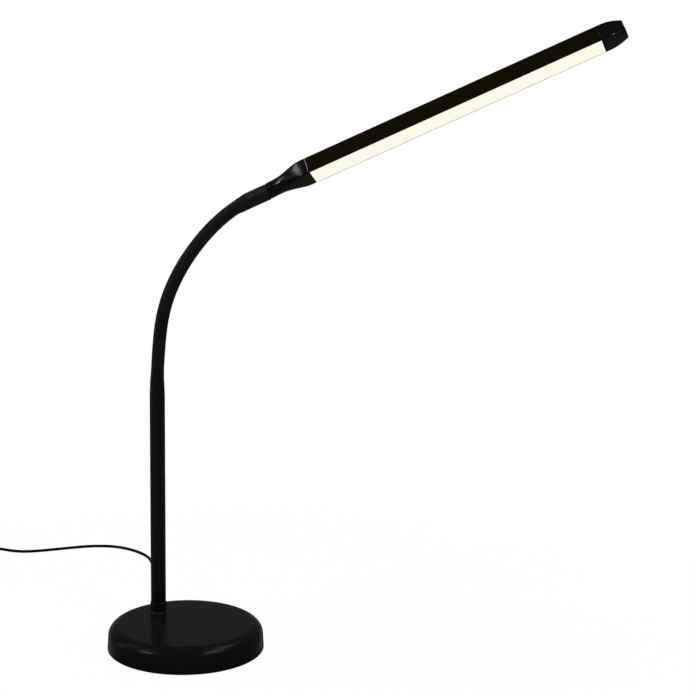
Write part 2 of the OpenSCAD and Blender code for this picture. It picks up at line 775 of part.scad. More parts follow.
module plug_shell() color("#c9cacc") {
    inner = 0.35;
    translate([plug_at[0] + relief_len + grip_len, plug_at[1], grip_h / 2]) rotate([90, 0, 90]) {
        linear_extrude(shell_len) difference() {
            round_rect(shell_w, shell_h, 0.6);
            round_rect(shell_w - 2 * inner, shell_h - 2 * inner, 0.4);
        }
        linear_extrude(shell_len - 1.5) translate([-shell_w / 2 + 0.2, -shell_h / 2 + 0.2])
            square([shell_w - 0.4, 1.8]);
        linear_extrude(2) square([shell_w - 0.4, shell_h - 0.4], center = true);
    }
}

foot_pad();
base_plate();
plate_screws();
base_weight();
base_cover();
stem_collar();
stem_tube();
stem_foot();
stem_washer();
stem_nut();
cord_grommet();
stem_lead();
neck_ferrule();
neck_link(0);  // neck_link_1
neck_link(1);  // neck_link_2
neck_link(2);  // neck_link_3
neck_link(3);  // neck_link_4
neck_link(4);  // neck_link_5
neck_link(5);  // neck_link_6
neck_link(6);  // neck_link_7
neck_link(7);  // neck_link_8
neck_link(8);  // neck_link_9
neck_skin(0);  // neck_skin_1
neck_skin(1);  // neck_skin_2
neck_skin(2);  // neck_skin_3
neck_skin(3);  // neck_skin_4
neck_skin(4);  // neck_skin_5
neck_skin(5);  // neck_skin_6
neck_skin(6);  // neck_skin_7
neck_skin(7);  // neck_skin_8
neck_skin(8);  // neck_skin_9
neck_lead(0);  // neck_lead_1
neck_lead(1);  // neck_lead_2
neck_lead(2);  // neck_lead_3
neck_lead(3);  // neck_lead_4
neck_lead(4);  // neck_lead_5
neck_lead(5);  // neck_lead_6
neck_lead(6);  // neck_lead_7
neck_lead(7);  // neck_lead_8
neck_lead(8);  // neck_lead_9
head_ferrule();
head_adaptor();
adaptor_screw();
light_channel();
led_board();
leds();
diffuser();
end_cap();
head_lead();
cord_run();
cord_tail();
cord_coil();
coil_tie();
switch_base();
switch_cover();
switch_rocker();
plug_grip();
plug_shell();
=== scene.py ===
import json
import math

import bpy
from mathutils import Matrix, Vector


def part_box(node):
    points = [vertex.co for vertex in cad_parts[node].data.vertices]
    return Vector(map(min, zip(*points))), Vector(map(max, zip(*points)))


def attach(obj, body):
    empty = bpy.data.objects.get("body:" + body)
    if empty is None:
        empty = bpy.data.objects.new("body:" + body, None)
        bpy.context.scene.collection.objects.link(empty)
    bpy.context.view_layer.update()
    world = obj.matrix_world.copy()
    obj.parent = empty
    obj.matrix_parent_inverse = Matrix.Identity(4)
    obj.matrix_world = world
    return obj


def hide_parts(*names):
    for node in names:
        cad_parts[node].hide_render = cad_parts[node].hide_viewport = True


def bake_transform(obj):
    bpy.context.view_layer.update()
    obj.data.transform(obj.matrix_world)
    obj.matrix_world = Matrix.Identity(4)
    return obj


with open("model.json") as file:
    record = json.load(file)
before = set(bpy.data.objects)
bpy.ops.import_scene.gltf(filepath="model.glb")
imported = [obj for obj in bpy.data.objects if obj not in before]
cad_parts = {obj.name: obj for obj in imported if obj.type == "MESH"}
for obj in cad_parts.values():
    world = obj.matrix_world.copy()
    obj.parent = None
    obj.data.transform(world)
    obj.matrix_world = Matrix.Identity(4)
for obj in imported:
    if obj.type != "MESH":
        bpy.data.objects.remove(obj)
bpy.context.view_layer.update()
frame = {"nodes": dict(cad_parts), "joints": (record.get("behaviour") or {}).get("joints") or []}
mm = 0.001
bpy.context.scene.view_settings.view_transform = "Standard"

# shared by several pieces: distances in mm, angles in degrees
shop = {"merge": 0.01, "sameHeight": 0.005, "bevelAngle": 55, "smoothAngle": 35}


def startFresh():
    # object mode, with nothing selected
    if bpy.context.object and bpy.context.object.mode != "OBJECT":
        bpy.ops.object.mode_set(mode="OBJECT")
    bpy.ops.object.select_all(action="DESELECT")


def between(a, b, share):
    return a + (b - a) * share


def smooth(u):
    # from 0 to 1, level at both ends
    u = min(1.0, max(0.0, u))
    return u * u * (3 - 2 * u)


# camera: place in mm, turns in degrees, focal length in pixels of a view this wide

view = {
    "place": (298.6, -1670.0, 644.3), "yaw": 5.0, "pitch": 11.635, "roll": 0.88,
    "focal": 1850, "width": 696, "sensor": 36, "clipEnd": 50,
}

startFresh()
bpy.ops.object.camera_add()
camera = bpy.context.object
camera.name = "camera"
camera.matrix_world = (
    Matrix.Translation(Vector(view["place"]) * mm)
    @ Matrix.Rotation(math.radians(view["yaw"]), 4, "Z")
    @ Matrix.Rotation(math.radians(90 - view["pitch"]), 4, "X")
    @ Matrix.Rotation(math.radians(view["roll"]), 4, "Z")
)
camera.data.sensor_width = view["sensor"]
camera.data.lens = view["sensor"] * view["focal"] / view["width"]
camera.data.clip_end = view["clipEnd"]
bpy.context.scene.camera = camera
print("camera")

# where the head is: Z along it, X the way it shines, "rise" the bar's height over the ferrule's middle

head = {
    "tilt": 64.5, "roll": 37.2, "rise": 2.2, "barW": 21.8, "barH": 16.7, "edgeR": 1.3,
    "ferruleLen": 29, "adaptorLen": 44.4, "barLen": 288.4,
}
bends = [Vector(j["pos_m"]) for j in frame["joints"] if j["name"].startswith("neck_")]
headFrame = (
    Matrix.Translation(bends[-1])
    @ Matrix.Rotation(math.radians(head["tilt"]), 4, "Y")
    @ Matrix.Rotation(math.radians(-head["roll"]), 4, "Z")
)
adaptorAt = head["ferruleLen"] * mm
barAt = adaptorAt + head["adaptorLen"] * mm
capAt = barAt + head["barLen"] * mm

# shading: shared effects are groups, the shader stays in each material

surface = {
    "fineDetail": 3.0, "fineRoughness": 0.6, "fineShare": 0.3,
    "cloudScale": 30.0, "cloudDetail": 5.0, "cloudRoughness": 0.55, "cloudShare": 0.7, "cloudTint": 1.35,
    "speckScale": 700.0, "speckDetail": 6.0, "speckRoughness": 0.7, "speckPower": 3.0,
    "bumpStrength": 0.5, "edgeFrom": 0.7, "edgeTo": 0.98,
}


def newGroup(name, inputs, outputs):
    group = bpy.data.node_groups.new(name, "ShaderNodeTree")
    for label, kind, value in inputs:
        socket = group.interface.new_socket(label, in_out="INPUT", socket_type=kind)
        socket.default_value = value
    for label, kind in outputs:
        group.interface.new_socket(label, in_out="OUTPUT", socket_type=kind)
    into = group.nodes.new("NodeGroupInput")
    out = group.nodes.new("NodeGroupOutput")
    return group, into, out


def mathNode(tree, operation, a, b, clamp=False):
    node = tree.nodes.new("ShaderNodeMath")
    node.operation = operation
    node.use_clamp = clamp
    for slot, value in ((0, a), (1, b)):
        if isinstance(value, (int, float)):
            node.inputs[slot].default_value = value
        else:
            tree.links.new(value, node.inputs[slot])
    return node.outputs[0]


def mixNode(tree, factor):
    # blends two colours, which go in as A and B
    node = tree.nodes.new("ShaderNodeMix")
    node.data_type = "RGBA"
    tree.links.new(factor, node.inputs["Factor"])
    return node


def noiseNode(tree, coords, scale, detail, roughness):
    node = tree.nodes.new("ShaderNodeTexNoise")
    node.inputs["Detail"].default_value = detail
    node.inputs["Roughness"].default_value = roughness
    tree.links.new(coords, node.inputs["Vector"])
    if isinstance(scale, (int, float)):
        node.inputs["Scale"].default_value = scale
    else:
        tree.links.new(scale, node.inputs["Scale"])
    return node.outputs["Fac"]


def smoothRange(tree, value, low, high):
    node = tree.nodes.new("ShaderNodeMapRange")
    node.interpolation_type = "SMOOTHSTEP"
    tree.links.new(value, node.inputs["Value"])
    node.inputs["From Min"].default_value = low
    node.inputs["From Max"].default_value = high
    return node.outputs["Result"]


def makeGrain(c):
    # the height of a fine grain, broad clouds, and a roughness that swings with both
    group, into, out = newGroup(
        "surfaceGrain",
        [("Grain Scale", "NodeSocketFloat", 2500.0), ("Roughness Middle", "NodeSocketFloat", 0.4),
         ("Roughness Swing", "NodeSocketFloat", 0.1)],
        [("Height", "NodeSocketFloat"), ("Roughness", "NodeSocketFloat"), ("Cloud", "NodeSocketFloat")])
    coords = group.nodes.new("ShaderNodeTexCoord").outputs["Object"]
    fine = noiseNode(group, coords, into.outputs["Grain Scale"], c["fineDetail"], c["fineRoughness"])
    cloud = noiseNode(group, coords, c["cloudScale"], c["cloudDetail"], c["cloudRoughness"])
    cloudPart = mathNode(group, "MULTIPLY", cloud, c["cloudShare"])
    finePart = mathNode(group, "MULTIPLY", fine, c["fineShare"])
    offMiddle = mathNode(group, "SUBTRACT", mathNode(group, "ADD", cloudPart, finePart), 0.5)
    swing = mathNode(group, "MULTIPLY", offMiddle, into.outputs["Roughness Swing"])
    roughness = mathNode(group, "ADD", into.outputs["Roughness Middle"], swing, clamp=True)
    group.links.new(fine, out.inputs["Height"])
    group.links.new(roughness, out.inputs["Roughness"])
    group.links.new(cloud, out.inputs["Cloud"])
    return group


def makeDust(c):
    # dust that settles in specks on what faces up
    group, into, out = newGroup(
        "settledDust",
        [("Base", "NodeSocketColor", (0.01, 0.01, 0.01, 1)),
         ("Dust", "NodeSocketColor", (0.3, 0.29, 0.27, 1)), ("Amount", "NodeSocketFloat", 0.02)],
        [("Color", "NodeSocketColor")])
    coords = group.nodes.new("ShaderNodeTexCoord").outputs["Object"]
    split = group.nodes.new("ShaderNodeSeparateXYZ")
    group.links.new(group.nodes.new("ShaderNodeTexCoord").outputs["Normal"], split.inputs[0])
    up = mathNode(group, "MAXIMUM", split.outputs["Z"], 0.0)
    noise = noiseNode(group, coords, c["speckScale"], c["speckDetail"], c["speckRoughness"])
    specks = mathNode(group, "POWER", noise, c["speckPower"])
    lying = mathNode(group, "MULTIPLY", up, specks)
    mix = mixNode(group, mathNode(group, "MULTIPLY", lying, into.outputs["Amount"], clamp=True))
    group.links.new(into.outputs["Base"], mix.inputs["A"])
    group.links.new(into.outputs["Dust"], mix.inputs["B"])
    group.links.new(mix.outputs["Result"], out.inputs["Color"])
    return group


grainGroup = makeGrain(surface)
dustGroup = makeDust(surface)


def finish(name, color, rough, swing=0.1, grain=2500.0, depth=0.02, dust=0.02, tint=None,
           specular=0.5, metallic=0.0, edgeDull=0.0, plain=False):
    # depth is the grain's, in mm, and a plain finish has one colour all over and no dust
    material = bpy.data.materials.new(name)
    material.use_nodes = True
    tree = material.node_tree
    shader = tree.nodes["Principled BSDF"]
    grainNode = tree.nodes.new("ShaderNodeGroup")
    grainNode.node_tree = grainGroup
    grainNode.inputs["Grain Scale"].default_value = grain
    grainNode.inputs["Roughness Middle"].default_value = rough
    grainNode.inputs["Roughness Swing"].default_value = swing
    if plain:
        shader.inputs["Base Color"].default_value = (*color, 1)
    else:
        shades = mixNode(tree, grainNode.outputs["Cloud"])  # two shades of the colour, in soft clouds
        shades.inputs["A"].default_value = (*color, 1)
        shades.inputs["B"].default_value = (*(tint or [v * surface["cloudTint"] for v in color]), 1)
        dustNode = tree.nodes.new("ShaderNodeGroup")
        dustNode.node_tree = dustGroup
        dustNode.inputs["Amount"].default_value = dust
        tree.links.new(shades.outputs["Result"], dustNode.inputs["Base"])
        tree.links.new(dustNode.outputs["Color"], shader.inputs["Base Color"])
    roughness = grainNode.outputs["Roughness"]
    if edgeDull:  # satin surfaces seen edge-on mirror less than smooth ones
        facing = tree.nodes.new("ShaderNodeLayerWeight").outputs["Facing"]
        edge = smoothRange(tree, facing, surface["edgeFrom"], surface["edgeTo"])
        roughness = mathNode(tree, "MAXIMUM", roughness, mathNode(tree, "MULTIPLY", edge, edgeDull))
    tree.links.new(roughness, shader.inputs["Roughness"])
    bump = tree.nodes.new("ShaderNodeBump")
    bump.inputs["Strength"].default_value = surface["bumpStrength"]
    bump.inputs["Distance"].default_value = depth * mm
    tree.links.new(grainNode.outputs["Height"], bump.inputs["Height"])
    tree.links.new(bump.outputs["Normal"], shader.inputs["Normal"])
    shader.inputs["Specular IOR Level"].default_value = specular
    shader.inputs["Metallic"].default_value = metallic
    return material


powderCoat = finish("powderCoat", (0.004, 0.004, 0.0038), rough=0.25, swing=0.08, grain=2200.0, depth=0.002,
                    dust=0.01, specular=0.0034, edgeDull=1.0)
stemLacquer = finish("stemLacquer", (0.0046, 0.0046, 0.0046), rough=0.32, swing=0.08, grain=2600.0,
                     depth=0.004, specular=0.009, edgeDull=1.0)
collarBlack = finish("collarBlack", (0.0038, 0.0038, 0.0038), rough=0.4, specular=0.012, edgeDull=1.0)
rubberSkin = finish("rubberSkin", (0.0064, 0.0064, 0.0064), rough=0.6, swing=0.15, grain=1300.0, depth=0.03,
                    specular=0.007, edgeDull=1.0)
ferruleLacquer = finish("ferruleLacquer", (0.0066, 0.0071, 0.0071), rough=0.45, swing=0.12, grain=1500.0,
                        depth=0.01, specular=0.009, edgeDull=1.0)
glossMoulding = finish("glossMoulding", (0.003, 0.003, 0.002), rough=0.13, swing=0.04, grain=400.0,
                       depth=0.001, specular=0.018)
barLacquer = finish("barLacquer", (0.0046, 0.0037, 0.0007), rough=0.42, swing=0.06, grain=2000.0, depth=0.006,
                    dust=0.001, tint=(0.0054, 0.0042, 0.0008), specular=0.002, edgeDull=1.0)
# light grey, far above the black parts: a painted highlight for the glint line at the collar's foot
glintRingGrey = finish("glintRingGrey", (0.03, 0.03, 0.03), rough=0.4, dust=0.01, specular=0.05, edgeDull=1.0)
castIron = finish("castIron", (0.06, 0.06, 0.062), rough=0.65, swing=0.2, grain=900.0, depth=0.15,
                  metallic=0.7)
platePaint = finish("platePaint", (0.012, 0.012, 0.012), rough=0.5)
padFoam = finish("padFoam", (0.01, 0.01, 0.01), rough=0.8, grain=1500.0, depth=0.15, specular=0.2)
zincSteel = finish("zincSteel", (0.45, 0.45, 0.46), rough=0.32, swing=0.15, grain=1800.0, depth=0.01,
                   metallic=1.0)
blackSteel = finish("blackSteel", (0.05, 0.05, 0.055), rough=0.35, swing=0.15, grain=1800.0, depth=0.01,
                    metallic=0.9)
cordJacket = finish("cordJacket", (0.002, 0.002, 0.002), rough=0.5, grain=1800.0, specular=0.01, edgeDull=1.0)
switchTexture = finish("switchTexture", (0.006, 0.006, 0.0062), rough=0.45, grain=1600.0, depth=0.06,
                       specular=0.06)
rockerPlastic = finish("rockerPlastic", (0.009, 0.009, 0.0095), rough=0.3, swing=0.06, grain=900.0,
                       depth=0.01, specular=0.08)
nickelShell = finish("nickelShell", (0.62, 0.61, 0.59), rough=0.22, grain=1500.0, depth=0.006, metallic=1.0)
boardWhite = finish("boardWhite", (0.7, 0.7, 0.66), rough=0.4)
phosphor = finish("phosphor", (0.8, 0.6, 0.2), rough=0.4)

opal = {
    "base": (0.02, 0.02, 0.018), "glowLow": (0.875, 0.854, 0.715), "glowHigh": (0.893, 0.872, 0.738),
    "cloudScale": 40.0, "cloudDetail": 3.0, "cloudRoughness": 0.5,
}


def litOpal(c):
    material = finish("opalDiffuser", c["base"], rough=0.45, swing=0.08, grain=1500.0, depth=0.01, plain=True)
    tree = material.node_tree
    shader = tree.nodes["Principled BSDF"]
    coords = tree.nodes.new("ShaderNodeTexCoord").outputs["Object"]
    glow = mixNode(tree, noiseNode(tree, coords, c["cloudScale"], c["cloudDetail"], c["cloudRoughness"]))
    glow.inputs["A"].default_value = (*c["glowLow"], 1)
    glow.inputs["B"].default_value = (*c["glowHigh"], 1)
    tree.links.new(glow.outputs["Result"], shader.inputs["Emission Color"])
    shader.inputs["Emission Strength"].default_value = 1.0
    return material


opalDiffuser = litOpal(opal)

cadFinish = {
    "foot_pad": padFoam, "base_plate": platePaint, "plate_screws": zincSteel, "base_weight": castIron,
    "base_cover": powderCoat, "stem_collar": collarBlack, "stem_tube": stemLacquer, "stem_foot": zincSteel,
    "stem_washer": zincSteel, "stem_nut": zincSteel, "cord_grommet": cordJacket, "stem_lead": cordJacket,
    "neck_ferrule": stemLacquer, "head_ferrule": ferruleLacquer, "head_adaptor": glossMoulding,
    "adaptor_screw": zincSteel, "light_channel": barLacquer, "led_board": boardWhite, "leds": phosphor,
    "diffuser": opalDiffuser, "end_cap": glossMoulding, "head_lead": cordJacket, "cord_run": cordJacket,
    "cord_tail": cordJacket, "cord_coil": cordJacket, "coil_tie": cordJacket, "switch_base": switchTexture,
    "switch_cover": switchTexture, "switch_rocker": rockerPlastic, "plug_grip": switchTexture,
    "plug_shell": nickelShell,
}
neckFinish = {"neck_link": blackSteel, "neck_skin": rubberSkin, "neck_lead": cordJacket}
for name, node in frame["nodes"].items():
    node.data.materials.clear()
    node.data.materials.append(cadFinish.get(name) or neckFinish[name.rsplit("_", 1)[0]])
print("finishes on the carried nodes")


def editAll():
    # edit mode, with all of the piece selected
    bpy.ops.object.mode_set(mode="EDIT")
    bpy.ops.mesh.select_all(action="SELECT")


def cleanMesh():
    # merges doubles and turns the faces outwards, from edit mode to object mode
    bpy.ops.mesh.select_all(action="SELECT")
    bpy.ops.mesh.remove_doubles(threshold=shop["merge"] * mm)
    bpy.ops.mesh.normals_make_consistent(inside=False)
    bpy.ops.object.mode_set(mode="OBJECT")


def bevelEdges(piece, width, segments):
    edge = piece.modifiers.new("rim", "BEVEL")
    edge.width = width * mm
    edge.segments = segments
    edge.limit_method = "ANGLE"
    edge.angle_limit = math.radians(shop["bevelAngle"])
    bpy.ops.object.modifier_apply(modifier="rim")


def settle(piece, name, material, body=None, place=None):
    # puts the place in the mesh, names the piece and gives it its finish
    startFresh()
    piece.select_set(True)
    bpy.context.view_layer.objects.active = piece
    if place is not None:
        piece.matrix_world = place @ piece.matrix_world
    bpy.ops.object.transform_apply(location=True, rotation=True, scale=True)
    piece.name = name
    piece.data.name = name
    piece.data.materials.clear()
    piece.data.materials.append(material)
    if body:
        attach(piece, body)


# lead: lengths in mm, the route's heights are those of its underside

cord = {
    "diameter": 3.2, "length": 1.5, "order": 3, "roundSteps": 4, "alongSteps": 4,
    "exitOut": 84.0, "exitTurn": 142.0, "exitHigh": 8.4, "exitStep": 3,
    "route": [
        (-71.5, 55.5, 5.2), (-72.3, 59.5, 3.4), (-71.2, 64, 1.9), (-68.6, 68.5, 0.9),
        (-65, 73, 0.3), (-60.5, 78, 0.1), (-56, 84, 0.1), (-52.5, 91, 0.1),
        (-50.2, 99, 0.1), (-49.5, 108, 0.1), (-50.3, 118, 0.1), (-52.6, 130, 0.1),
        (-56.2, 145, 0.1), (-60.5, 162, 0.1), (-65, 180, 0.1), (-69.5, 198, 0.1),
        (-74, 217, 0.1), (-78.5, 234, 0.1), (-83, 249, 0.1), (-89, 261.5, 0.1),
        (-97, 271.5, 0.1), (-107, 280.5, 0.1), (-119, 288, 0.1), (-132, 293, 0.1),
        (-146, 293.5, 0.1), (-162, 290.5, 0.1), (-179, 283, 0.1), (-197, 274, 0.1),
        (-216, 265, 0.1), (-232, 259, 0.6), (-247, 255.5, 3)],
    "switch": (-292, 254, 7.5), "switchLen": 58, "switchNear": 8, "switchDip": 1.2, "switchFar": 20,
    "coil": (-368, 236.5), "coilWide": 35, "coilLow": 1.0, "coilTurns": 8.5, "coilSteps": 16,
    "across": 3, "rows": 3, "easeFrom": 0.8, "easeOver": 0.2,
    "plug": (-342, 219, 4.0), "plugFar": 14, "plugLift": 3, "plugNear": 7, "plugHump": 0.6, "plugStep": 3,
}


def coilSeat(lap, across):
    # row and column of a lap: every second row is wound back
    row, column = divmod(lap, across)
    if row % 2:
        column = across - 1 - column
    return row, column


def coilPoints(c, start):
    # turns side by side in rows, each easing over to the next one's seat at its end
    radius, pitch = c["coilWide"] / 2, c["diameter"]
    points = []
    for i in range(int(c["coilTurns"] * c["coilSteps"]) + 1):
        turn = i / c["coilSteps"]
        lap = int(turn)
        row, column = coilSeat(lap, c["across"])
        nextRow, nextColumn = coilSeat(lap + 1, c["across"])
        nextRow = min(nextRow, c["rows"] - 1)
        ease = smooth((turn - lap - c["easeFrom"]) / c["easeOver"])
        r = radius + (between(column, nextColumn, ease) - (c["across"] - 1) / 2) * pitch
        z = c["coilLow"] + pitch / 2 + between(row, nextRow, ease) * pitch
        a = start + turn * 2 * math.pi
        points.append((c["coil"][0] + r * math.cos(a), c["coil"][1] + r * math.sin(a), z))
    return points


def routePoints(c):
    turn = math.radians(c["exitTurn"])
    out = lambda r: (r * math.cos(turn), r * math.sin(turn), c["exitHigh"])
    half = c["switchLen"] / 2
    sx, sy, sz = c["switch"]
    px, py, pz = c["plug"]
    low = c["coilLow"] + c["diameter"] / 2
    points = [out(c["exitOut"]), out(c["exitOut"] + c["exitStep"])]
    points += [(x, y, c["diameter"] / 2 + z) for x, y, z in c["route"]]
    points += [(sx + half, sy, sz), (sx, sy, sz), (sx - half, sy, sz),
               (sx - half - c["switchNear"], sy, sz - c["switchDip"]), (sx - half - c["switchFar"], sy, low)]
    points += coilPoints(c, math.pi / 2)
    points += [(px - c["plugFar"], py, low + c["plugLift"]), (px - c["plugNear"], py, pz + c["plugHump"]),
               (px - c["plugStep"], py, pz), (px, py, pz)]
    return points


def makeCord(c):
    curve = bpy.data.curves.new("lead", "CURVE")
    curve.dimensions = "3D"
    curve.bevel_depth = c["diameter"] / 2 * mm
    curve.bevel_resolution = c["roundSteps"]
    curve.resolution_u = c["alongSteps"]
    curve.use_fill_caps = True
    spline = curve.splines.new("NURBS")
    points = routePoints(c)
    spline.points.add(len(points) - 1)
    for point, place in zip(spline.points, points):
        point.co = (*[v * mm for v in place], 1)
    spline.order_u = c["order"]
    spline.use_endpoint_u = True
    lead = bpy.data.objects.new("lead", curve)
    bpy.context.scene.collection.objects.link(lead)
    curve.materials.append(cordJacket)
    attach(lead, "base")
    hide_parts("cord_run", "cord_tail", "cord_coil")


makeCord(cord)
print("lead laid")

# neck skin: one length of rubber across each bend, from the middle of one link to the middle of the next

skin = {
    "radius": 6.25, "wall": 0.5, "sides": 48, "steps": 8, "smoothAngle": 40, "cut": 0.125,
    "footLean": 2.5, "footDrop": 5.5, "footHold": 2.8, "footRadius": 6.2, "footSteps": 3,
    "bootFrom": -9, "bootTo": 9.5, "bootRadius": 7.6, "bootHold": 1.0, "bootCut": 0.25,
}
lastBend = len(bends)
linkLen = (bends[1] - bends[0]).length


def linkWay(k):
    # the way link k points: 0 is the leaning end of the stem, the last one the head
    if k == 0:
        lean = math.radians(skin["footLean"])
        return Vector((math.sin(lean), 0, math.cos(lean)))
    if k == lastBend:
        return (headFrame.to_3x3() @ Vector((0, 0, 1))).normalized()
    return (bends[k] - bends[k - 1]).normalized()


def tilt(way):
    return math.atan2(way.x, way.z)


def skinStations(k, c):
    # places, tilts and radii of the rings of skin k
    bend, below, above = bends[k - 1], linkWay(k - 1), linkWay(k)
    half = linkLen / 2
    down = c["footDrop"] * mm if k == 1 else half
    up = c["bootTo"] * mm if k == lastBend else half
    low, high = tilt(below), tilt(above)
    stations = []
    for i in range(c["steps"] + 1):
        d = -down + (down + up) * i / c["steps"]
        share = smooth((d / half + 1) / 2)
        if d < 0:
            place = bend + below * d
        else:
            place = bend + above * d
        arc = max(0.0, 1 - abs(d) / half)
        cut = arc * arc * linkLen * (c["bootCut"] if k == lastBend else c["cut"])
        place = place + (above - below) * cut  # the curve cuts the corner at the bend
        radius = c["radius"] * mm
        if k == 1:
            radius = between(c["footRadius"], c["radius"], smooth(i / c["footSteps"])) * mm
        if k == lastBend:
            flare = smooth((d / mm - c["bootFrom"]) / (c["bootTo"] - c["bootFrom"]))
            radius = between(c["radius"], c["bootRadius"], flare) * mm
        stations.append((place, between(low, high, share), radius))
    return stations


def makeSkin(k, c):
    stations = skinStations(k, c)
    place, turned, radius = stations[0]
    startFresh()
    bpy.ops.mesh.primitive_circle_add(vertices=c["sides"], radius=radius, location=place,
                                      rotation=(0, turned, 0))
    editAll()
    for nextPlace, nextTurned, nextRadius in stations[1:]:
        bpy.ops.mesh.extrude_region_move(TRANSFORM_OT_translate={"value": nextPlace - place})
        bpy.ops.transform.rotate(value=turned - nextTurned, orient_axis="Y", center_override=nextPlace)
        wider = nextRadius / radius
        bpy.ops.transform.resize(value=(wider, wider, wider), center_override=nextPlace)
        place, turned, radius = nextPlace, nextTurned, nextRadius
    cleanMesh()
    piece = bpy.context.object
    wall = piece.modifiers.new("wall", "SOLIDIFY")
    wall.thickness = c["wall"] * mm
    wall.offset = -1
    bpy.ops.object.modifier_apply(modifier="wall")
    bpy.ops.object.shade_smooth_by_angle(angle=math.radians(c["smoothAngle"]))
    settle(piece, "neckSkin%d" % k, rubberSkin)
    if k < lastBend:
        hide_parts("neck_skin_%d" % k, "neck_link_%d" % k)
    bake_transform(piece)


for k in range(1, lastBend + 1):
    makeSkin(k, skin)
print("neck skin")

# thin ring at the foot of the collar: its light grey colour is a painted highlight, a glint line painted into
# the ring

collarGlintRing = {"inner": 7.5, "outer": 7.9, "from": 0.9, "high": 1.6, "rim": 0.1, "rimSteps": 2, "sides": 64}


def makeCollarGlintRing(c):
    low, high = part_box("stem_collar")
    middle = (low.x + high.x) / 2, (low.y + high.y) / 2, low.z + c["from"] * mm
    wider = c["outer"] / c["inner"]
    startFresh()
    bpy.ops.mesh.primitive_circle_add(vertices=c["sides"], radius=c["inner"] * mm, location=middle)
    editAll()
    bpy.ops.mesh.extrude_edges_move(TRANSFORM_OT_translate={"value": (0, 0, 0)})
    bpy.ops.transform.resize(value=(wider, wider, 1), center_override=middle)
    bpy.ops.mesh.select_all(action="SELECT")
    bpy.ops.mesh.extrude_region_move(TRANSFORM_OT_translate={"value": (0, 0, c["high"] * mm)})
    cleanMesh()
    piece = bpy.context.object
    bevelEdges(piece, c["rim"], c["rimSteps"])
    bpy.ops.object.shade_smooth_by_angle(angle=math.radians(shop["smoothAngle"]))
    settle(piece, "collarGlintRing", glintRingGrey, "base")


makeCollarGlintRing(collarGlintRing)
print("collar ring")

# head: the glossy adaptor and the end cap, drawn along Z and then moved to the head's place


def roundedOutline(high, wide, radius, steps, z, rise):
    # an outline of the bar's form, in metres: X is its height, Y its width
    bpy.ops.mesh.primitive_plane_add(size=1, location=(-rise, 0, z))
    editAll()
    bpy.ops.transform.resize(value=(high, wide, 1), center_override=(-rise, 0, z))
    bpy.ops.mesh.bevel(offset_type="OFFSET", offset=radius, segments=steps, affect="VERTICES")
    bpy.ops.mesh.delete(type="ONLY_FACE")
    bpy.ops.object.mode_set(mode="OBJECT")
    bpy.ops.object.transform_apply(location=True, rotation=True, scale=True)
    return bpy.context.object


def barOutline(z, steps):
    rise = head["rise"] * mm
    return roundedOutline(head["barH"] * mm, head["barW"] * mm, head["edgeR"] * mm, steps, z, rise)


def ringAt(mesh, z):
    # the vertices that lie at one height
    near = shop["sameHeight"] * mm
    return [vert.index for vert in mesh.vertices if abs(vert.co.z - z) < near]


def middleOf(mesh, z):
    across = [mesh.vertices[i].co.x for i in ringAt(mesh, z)]
    return (min(across) + max(across)) / 2


def pick(mesh, chosen):
    # edit mode, with these vertices selected
    bpy.ops.object.mode_set(mode="EDIT")
    bpy.ops.mesh.select_all(action="DESELECT")
    bpy.ops.object.mode_set(mode="OBJECT")
    for i in chosen:
        mesh.vertices[i].select = True
    bpy.ops.object.mode_set(mode="EDIT")


def joinOutlines(pieces):
    startFresh()
    for piece in pieces:
        piece.select_set(True)
    bpy.context.view_layer.objects.active = pieces[0]
    bpy.ops.object.join()
    return pieces[0]


def loft(piece, low, high, cuts, heightOf, riseOf):
    # bridges the outlines at two heights, then moves each ring to its own height and rise
    mesh = piece.data
    pick(mesh, ringAt(mesh, low) + ringAt(mesh, high))
    bpy.ops.mesh.bridge_edge_loops(number_cuts=cuts, interpolation="LINEAR")
    bpy.ops.object.mode_set(mode="OBJECT")
    shares = [i / (cuts + 1) for i in range(1, cuts + 1)]
    rings = [ringAt(mesh, low + (high - low) * share) for share in shares]
    lowMiddle, highMiddle = middleOf(mesh, low), middleOf(mesh, high)
    for share, ring in zip(shares, rings):
        z = heightOf(share)
        middle = between(lowMiddle, highMiddle, share)
        pick(mesh, ring)
        bpy.ops.transform.translate(value=(-riseOf(z) - middle, 0, z - low - (high - low) * share))
    bpy.ops.object.mode_set(mode="OBJECT")


def closeEnds(piece, ends, rim, steps):
    # fills the two ends and bevels their rims
    mesh = piece.data
    for z in ends:
        pick(mesh, ringAt(mesh, z))
        bpy.ops.mesh.edge_face_add()
        bpy.ops.object.mode_set(mode="OBJECT")
    bpy.ops.object.mode_set(mode="EDIT")
    cleanMesh()
    bevelEdges(piece, rim, steps)


adaptor = {
    "footR": 7.65, "footRise": 0.2, "riseFrom": -0.16, "riseTo": 0.72, "roundTo": 0.22, "squareFrom": 0.9,
    "cornerSteps": 11, "neckSteps": 3, "cuts": 23, "rim": 0.7, "rimSteps": 1,
    "screwAt": 8, "screwOut": 8.6, "screwHole": 3.1, "screwDeep": 6, "screwSides": 24,
}


def drillScrewHole(piece, c):
    place = (0, c["screwOut"] * mm, adaptorAt + c["screwAt"] * mm)
    bpy.ops.mesh.primitive_cylinder_add(vertices=c["screwSides"], radius=c["screwHole"] / 2 * mm,
                                        depth=c["screwDeep"] * mm, location=place,
                                        rotation=(math.pi / 2, 0, 0))
    drill = bpy.context.object
    startFresh()
    piece.select_set(True)
    bpy.context.view_layer.objects.active = piece
    hole = piece.modifiers.new("screwHole", "BOOLEAN")
    hole.object = drill
    hole.operation = "DIFFERENCE"
    bpy.ops.object.modifier_apply(modifier="screwHole")
    bpy.data.objects.remove(drill)


